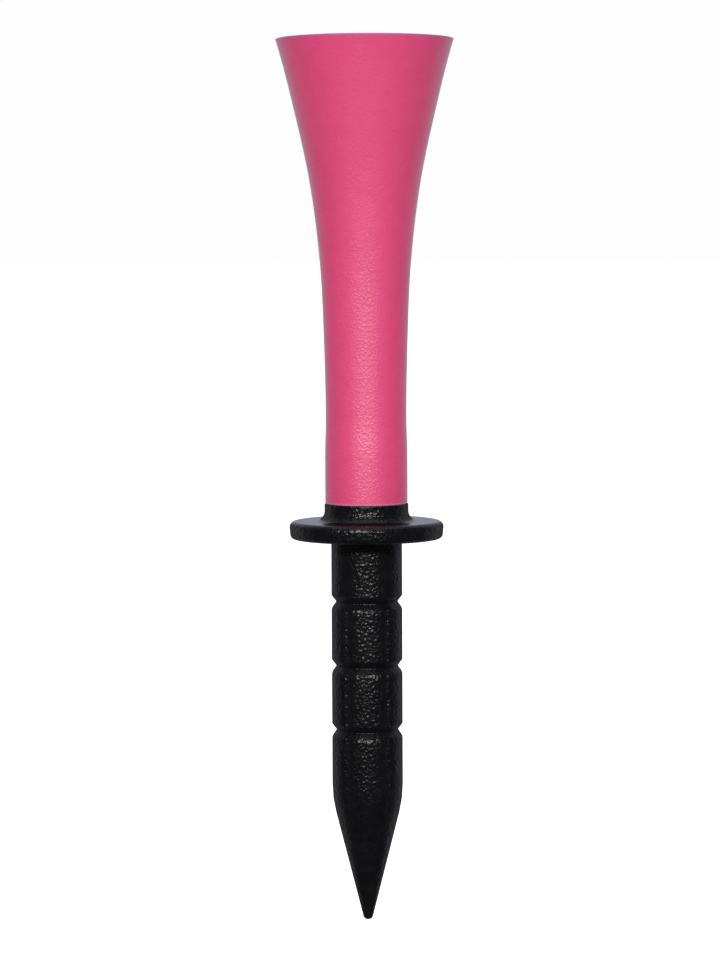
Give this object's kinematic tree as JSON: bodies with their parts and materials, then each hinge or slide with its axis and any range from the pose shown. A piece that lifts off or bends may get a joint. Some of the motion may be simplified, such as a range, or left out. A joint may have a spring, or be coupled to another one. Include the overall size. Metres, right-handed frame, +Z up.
{
  "type": "golf tee",
  "caption": "Two-piece golf tee: a soft flared cup sleeve on a stiff spike with a round flange, a grooved and fluted shank and a blunt conical point.",
  "frame": {"origin": "on the axis at the flange's underside, where the flange rests on the ground", "axes": "+Z up along the axis, from the point to the cup; the view in use is along +Y, with a land between two flutes facing it"},
  "size_m": [0.0166, 0.0166, 0.0826],
  "materials": {
    "sleeve_elastomer": "fine eroded texture, soft satin pink",
    "spike_plastic": "fine eroded texture, satin black"
  },
  "bodies": {
    "spike": {"ground_spike": "spike_plastic"},
    "sleeve": {"cup_sleeve": "sleeve_elastomer"}
  },
  "joints": [
    {"name": "sleeve_pull", "type": "slide", "parent": "spike", "child": "sleeve", "axis": [0, 0, 1], "range_m": [0, 0.01]}
  ]
}
